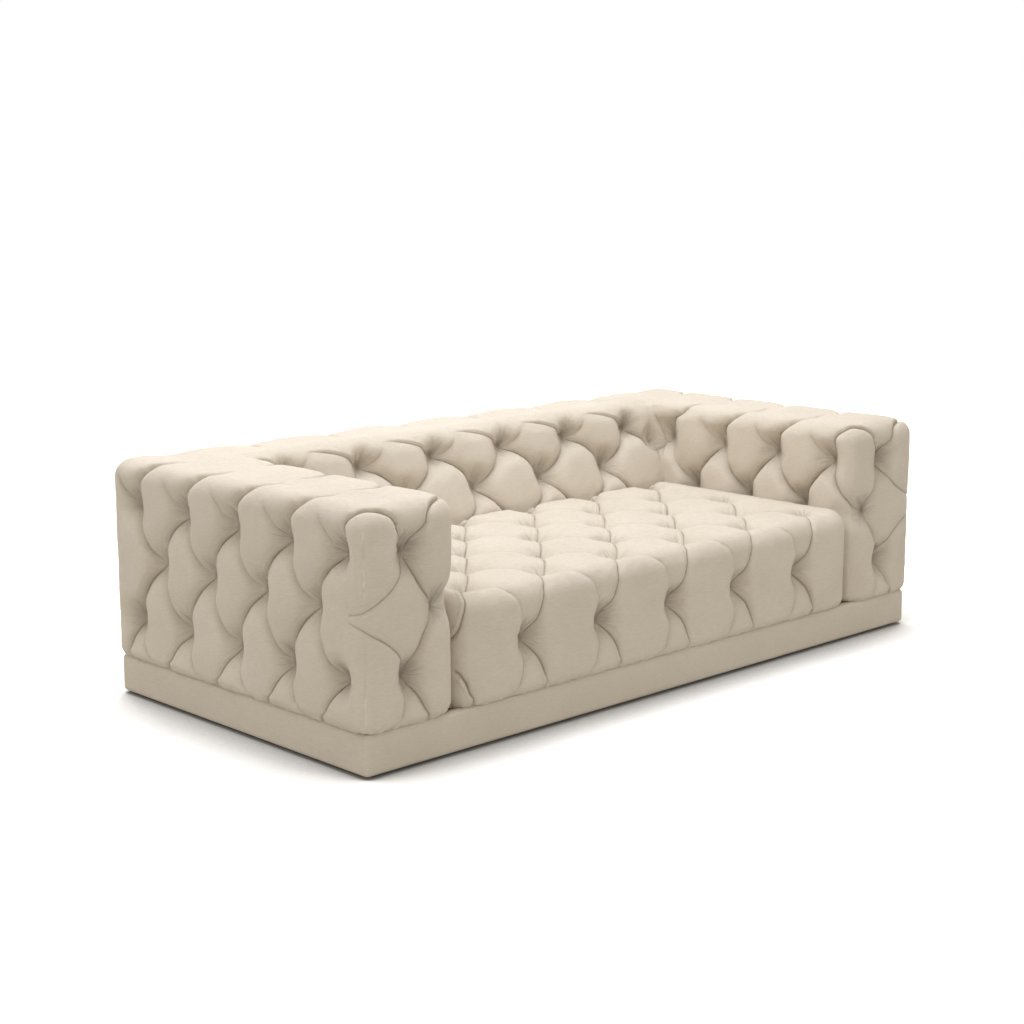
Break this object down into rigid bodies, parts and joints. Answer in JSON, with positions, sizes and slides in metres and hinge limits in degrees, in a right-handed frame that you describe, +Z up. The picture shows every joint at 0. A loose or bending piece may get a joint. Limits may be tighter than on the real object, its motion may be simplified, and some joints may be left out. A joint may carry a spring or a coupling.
{
  "type": "three-seater tufted sofa",
  "caption": "Low block-arm sofa on a fabric plinth, diamond tufted all over in linen, with a tight seat, sprung timber frame and hidden floor glides",
  "frame": {"origin": "on the floor, under the middle of the sofa", "axes": "+X along the width, left to right as seen from the front; the front faces -Y; +Z up"},
  "size_m": [2.24, 1.084, 0.663],
  "materials": {
    "linen": "matt woven linen",
    "foam": "open cell foam",
    "wadding": "fibre wadding",
    "felt": "needled felt",
    "webbing": "elastic webbing",
    "dust_cloth": "spun cloth",
    "steel": "zinc plated",
    "spring_steel": "drawn wire",
    "glide_plastic": "moulded nylon",
    "plywood": "sanded plywood",
    "timber": "planed softwood"
  },
  "bodies": {
    "root": {"arm_bolts": "steel", "back_bolts": "steel", "back_bottom_rail": "timber", "back_cover": "linen", "back_end_posts": "timber", "back_foam": "foam", "back_outside_cover": "linen", "back_rear_foam": "foam", "back_rear_panel": "plywood", "back_stiles": "timber", "back_top_rail": "timber", "back_webbing": "webbing", "dust_cover": "dust_cloth", "floor_glides": "glide_plastic", "glide_nails": "steel", "left_arm_bottom_rail": "timber", "left_arm_cover": "linen", "left_arm_foam": "foam", "left_arm_front_cover": "linen", "left_arm_front_post": "timber", "left_arm_inner_panel": "plywood", "left_arm_middle_post": "timber", "left_arm_outer_panel": "plywood", "left_arm_rear_post": "timber", "left_arm_top_rail": "timber", "left_corner_cover": "linen", "plinth_coach_screws": "steel", "plinth_cover": "linen", "plinth_cross_rails": "timber", "plinth_front_rail": "timber", "plinth_glide_blocks": "timber", "plinth_left_rail": "timber", "plinth_rear_rail": "timber", "plinth_right_rail": "timber", "plinth_wadding": "wadding", "right_arm_bottom_rail": "timber", "right_arm_cover": "linen", "right_arm_foam": "foam", "right_arm_front_cover": "linen", "right_arm_front_post": "timber", "right_arm_inner_panel": "plywood", "right_arm_middle_post": "timber", "right_arm_outer_panel": "plywood", "right_arm_rear_post": "timber", "right_arm_top_rail": "timber", "right_corner_cover": "linen", "seat_corner_blocks": "timber", "seat_cover": "linen", "seat_foam": "foam", "seat_front_rail": "timber", "seat_left_rail": "timber", "seat_rear_rail": "timber", "seat_right_rail": "timber", "seat_springs": "spring_steel", "seat_stretchers": "timber", "spring_clips": "spring_steel", "spring_felt": "felt"}
  },
  "joints": []
}
